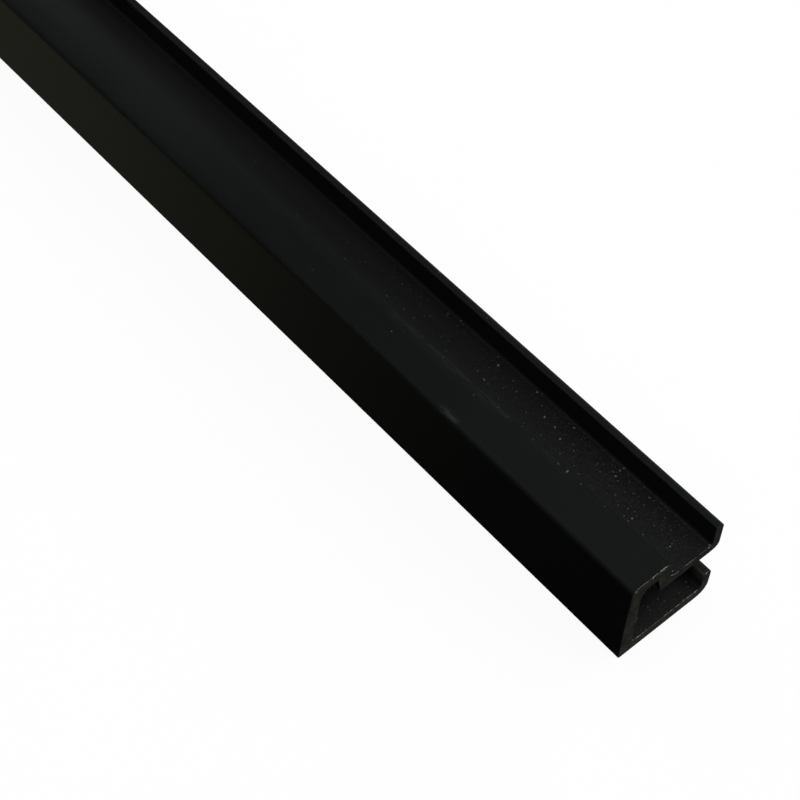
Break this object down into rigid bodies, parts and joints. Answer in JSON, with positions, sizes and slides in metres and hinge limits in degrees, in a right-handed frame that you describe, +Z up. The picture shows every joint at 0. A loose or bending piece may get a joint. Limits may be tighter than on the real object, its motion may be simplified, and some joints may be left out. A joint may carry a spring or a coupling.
{
  "type": "tile trim",
  "caption": "Straight length of black plastic tile trim: an open-sided channel with a stepped top and two upturned lips.",
  "frame": {"origin": "middle of the length and of the width, on the underside of the base", "axes": "+X along the length to the cut end that the picture shows, +Y from the closed wall to the open side, +Z up from the base to the stepped top"},
  "size_m": [2.5, 0.012, 0.012],
  "materials": {
    "black_plastic": "satin-matt extruded plastic, saw-cut ends"
  },
  "bodies": {
    "root": {"trim_profile": "black_plastic"}
  },
  "joints": []
}
